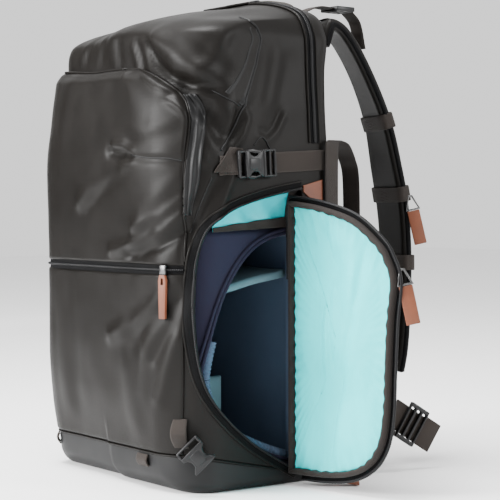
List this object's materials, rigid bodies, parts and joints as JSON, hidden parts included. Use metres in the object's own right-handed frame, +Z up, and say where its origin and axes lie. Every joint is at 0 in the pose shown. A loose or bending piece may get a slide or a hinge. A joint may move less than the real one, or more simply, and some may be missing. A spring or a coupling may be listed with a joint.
{
  "type": "camera backpack",
  "caption": "Soft upright camera backpack with a padded insert behind an open side door, a front zip pocket, shoulder straps and a hip belt.",
  "frame": {"origin": "on the floor under the middle of the bag, on the flat face it rests on", "axes": "+Z up, -Y towards the bag's front pocket, +Y towards the wearer's back, +X towards the side with the open door"},
  "size_m": [0.4351, 0.3309, 0.4901],
  "materials": {
    "shell_cloth": "satin coated cloth with a faint fine ripstop grid",
    "base_cloth": "smooth heavier coated cloth",
    "tape": "black zip tape",
    "binding": "ribbed grey-brown binding",
    "lining": "light teal woven lining",
    "insert_cloth": "navy brushed padding",
    "divider_cloth": "grey-teal brushed padding",
    "webbing": "woven brown-grey webbing",
    "mesh": "black spacer mesh",
    "plastic": "satin moulded plastic",
    "leather": "tan leather",
    "metal": "satin steel wire"
  },
  "bodies": {
    "root": {"back_pad_left": "mesh", "back_pad_right": "mesh", "base_boot": "base_cloth", "base_buckle": "plastic", "base_webbing": "webbing", "body_shell": "shell_cloth", "buckle_plug_left": "plastic", "buckle_plug_right": "plastic", "buckle_socket_left": "plastic", "buckle_socket_right": "plastic", "corner_tab": "leather", "curtain": "lining", "curtain_binding": "binding", "divider_lower": "divider_cloth", "divider_shelf": "divider_cloth", "door_lining": "lining", "door_panel": "shell_cloth", "door_pull": "leather", "door_rim": "binding", "door_ring": "metal", "foot_pull": "leather", "foot_ring": "metal", "gusset_left": "tape", "gusset_right": "tape", "haul_handle": "webbing", "hip_lock_left": "plastic", "hip_lock_right": "plastic", "hip_webbing_left": "webbing", "hip_webbing_right": "webbing", "hip_wing_left": "mesh", "hip_wing_right": "mesh", "insert_piping": "tape", "insert_shell": "insert_cloth", "lifter_lead_left": "webbing", "lifter_lead_right": "webbing", "lifter_lock_left": "plastic", "lifter_lock_right": "plastic", "lifter_tail_left": "webbing", "lifter_tail_right": "webbing", "lower_strap_left": "webbing", "lower_strap_right": "webbing", "lumbar_pad": "mesh", "opening_tape": "tape", "pocket_lower": "shell_cloth", "pocket_pull": "leather", "pocket_slider": "metal", "pocket_upper": "shell_cloth", "pocket_zip": "tape", "rear_zip": "tape", "shoulder_strap_left": "mesh", "shoulder_strap_right": "mesh", "side_loop": "webbing", "strap_front_left": "webbing", "strap_front_right": "webbing", "strap_pull": "leather", "strap_rear_left": "webbing", "strap_rear_right": "webbing", "strap_ring": "metal", "tab_left": "webbing", "tab_middle": "webbing"}
  },
  "joints": []
}
